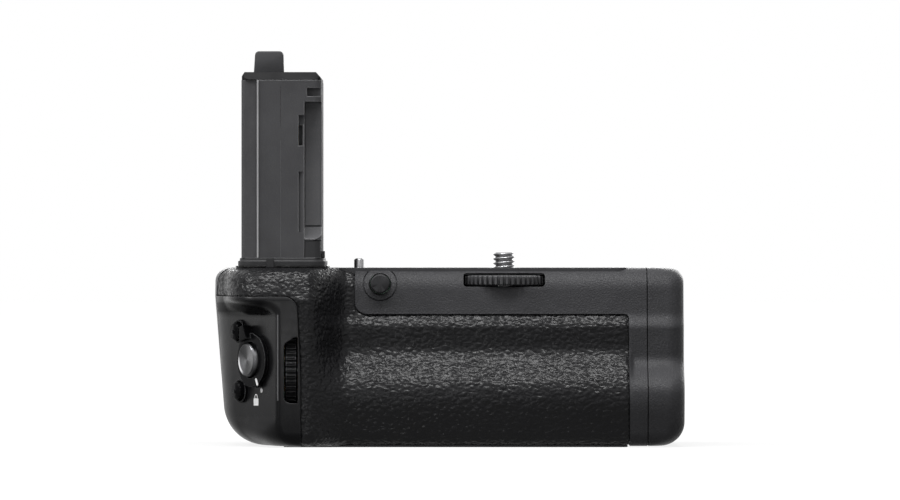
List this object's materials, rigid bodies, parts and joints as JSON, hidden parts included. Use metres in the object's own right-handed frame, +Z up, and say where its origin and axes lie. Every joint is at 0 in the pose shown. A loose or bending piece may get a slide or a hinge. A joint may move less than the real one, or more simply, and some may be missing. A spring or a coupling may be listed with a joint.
{
  "type": "camera battery grip",
  "caption": "Camera battery grip with a bulged hand grip, a control head, a tower for the camera's battery shaft, an attachment screw and a pull-out battery tray",
  "frame": {"origin": "middle of the overall box, on the base face", "axes": "+X along the grip from the head to the end cap, -Y to the lens side, +Z up to the camera"},
  "size_m": [0.1344, 0.064, 0.1134],
  "materials": {
    "shell": "fine-textured black plastic",
    "skin": "pebbled black rubber",
    "panel": "smooth satin black plastic",
    "tower": "matte dark grey plastic",
    "tower_dark": "matte black plastic",
    "seat": "black coated plate",
    "control": "smooth black plastic",
    "spun": "spun and dark anodised",
    "steel": "bright turned steel",
    "alloy": "cast alloy",
    "seal": "soft black rubber",
    "contact": "gold plated",
    "board": "green board",
    "chip": "black moulded",
    "ribbon": "amber film"
  },
  "bodies": {
    "housing": {"chassis": "alloy", "bulkheads": "alloy", "front_cover": "shell", "grip_skin": "skin", "control_panel": "panel", "rear_cover": "shell", "thumb_skin": "skin", "top_plate": "seat", "bottom_plate": "seat", "tripod_bush": "steel", "screw_bush": "steel", "locating_pin": "steel", "tower_front": "tower", "tower_rear": "tower", "tower_cap": "tower_dark", "tower_contacts": "contact", "tower_plinth": "tower_dark", "plinth_clips": "tower_dark", "plinth_seal": "seal", "tower_flex": "ribbon", "control_board": "board", "control_switches": "chip", "control_flex": "ribbon", "shutter_bezel": "control", "button_collars": "control", "front_dial_axle": "steel", "front_switch_board": "board", "rear_board": "board", "rear_switches": "chip", "joystick_base": "control", "rear_dial_axle": "steel", "bay_contact_block": "chip", "bay_contacts": "contact", "main_board": "board", "board_chips": "chip", "base_screws": "steel", "plate_screws": "steel"},
    "attach": {"attachment_dial": "control", "camera_screw": "steel"},
    "shutter": {"shutter_button": "spun"},
    "lever": {"lock_lever": "control"},
    "custom_upper": {"custom_button_upper": "control"},
    "custom_lower": {"custom_button_lower": "control"},
    "front_wheel": {"front_dial": "control"},
    "front_push": {"front_button": "control"},
    "af_push": {"af_button": "control"},
    "hold_push": {"hold_button": "control"},
    "gimbal": {"joystick_gimbal": "steel"},
    "stick": {"joystick_cap": "control"},
    "rear_wheel": {"rear_dial": "control"},
    "tray": {"battery_tray": "tower_dark", "tray_cap": "shell", "tray_contacts": "contact", "tray_seal": "seal"},
    "latch": {"tray_latch": "control"}
  },
  "joints": [
    {"name": "attach_turn", "type": "hinge", "parent": "housing", "child": "attach", "pos_m": [0.0155, -0.0035, 0.0463], "axis": [0, 0, 1], "continuous": true},
    {"name": "shutter_press", "type": "slide", "parent": "housing", "child": "shutter", "axis": [0.866, 0.5, 0], "range_m": [0, 0.0008], "stiffness_N_per_m": 600, "springref_m": -0.0008},
    {"name": "lock_turn", "type": "hinge", "parent": "housing", "child": "lever", "pos_m": [-0.0562, -0.01982, 0.025], "axis": [-0.866, -0.5, 0], "range_deg": [-40, 0]},
    {"name": "custom_upper_press", "type": "slide", "parent": "housing", "child": "custom_upper", "axis": [0.866, 0.5, 0], "range_m": [0, 0.0006], "stiffness_N_per_m": 600, "springref_m": -0.0008},
    {"name": "custom_lower_press", "type": "slide", "parent": "housing", "child": "custom_lower", "axis": [0.866, 0.5, 0], "range_m": [0, 0.0006], "stiffness_N_per_m": 600, "springref_m": -0.0008},
    {"name": "front_dial_turn", "type": "hinge", "parent": "housing", "child": "front_wheel", "pos_m": [-0.0455, -0.021, 0.0222], "axis": [1, 0, 0], "continuous": true},
    {"name": "front_button_press", "type": "slide", "parent": "housing", "child": "front_push", "axis": [0, 1, 0], "range_m": [0, 0.0006], "stiffness_N_per_m": 600, "springref_m": -0.0008},
    {"name": "af_press", "type": "slide", "parent": "housing", "child": "af_push", "axis": [0, -1, 0], "range_m": [0, 0.0006], "stiffness_N_per_m": 600, "springref_m": -0.0008},
    {"name": "hold_press", "type": "slide", "parent": "housing", "child": "hold_push", "axis": [0, -1, 0], "range_m": [0, 0.0006], "stiffness_N_per_m": 600, "springref_m": -0.0008},
    {"name": "stick_pitch", "type": "hinge", "parent": "housing", "child": "gimbal", "pos_m": [-0.044, 0.0225, 0.03], "axis": [1, 0, 0], "range_deg": [-8, 8], "stiffness_Nm_per_rad": 0.05},
    {"name": "stick_yaw", "type": "hinge", "parent": "gimbal", "child": "stick", "pos_m": [-0.044, 0.0225, 0.03], "axis": [0, 0, 1], "range_deg": [-8, 8], "stiffness_Nm_per_rad": 0.05},
    {"name": "rear_dial_turn", "type": "hinge", "parent": "housing", "child": "rear_wheel", "pos_m": [-0.0554, 0.0171, 0.0314], "axis": [1, 0, 0], "continuous": true},
    {"name": "tray_slide", "type": "slide", "parent": "housing", "child": "tray", "axis": [1, 0, 0], "range_m": [0, 0.105]},
    {"name": "latch_slide", "type": "slide", "parent": "tray", "child": "latch", "axis": [0, 0, 1], "range_m": [0, 0.004], "stiffness_N_per_m": 200, "springref_m": -0.002}
  ]
}
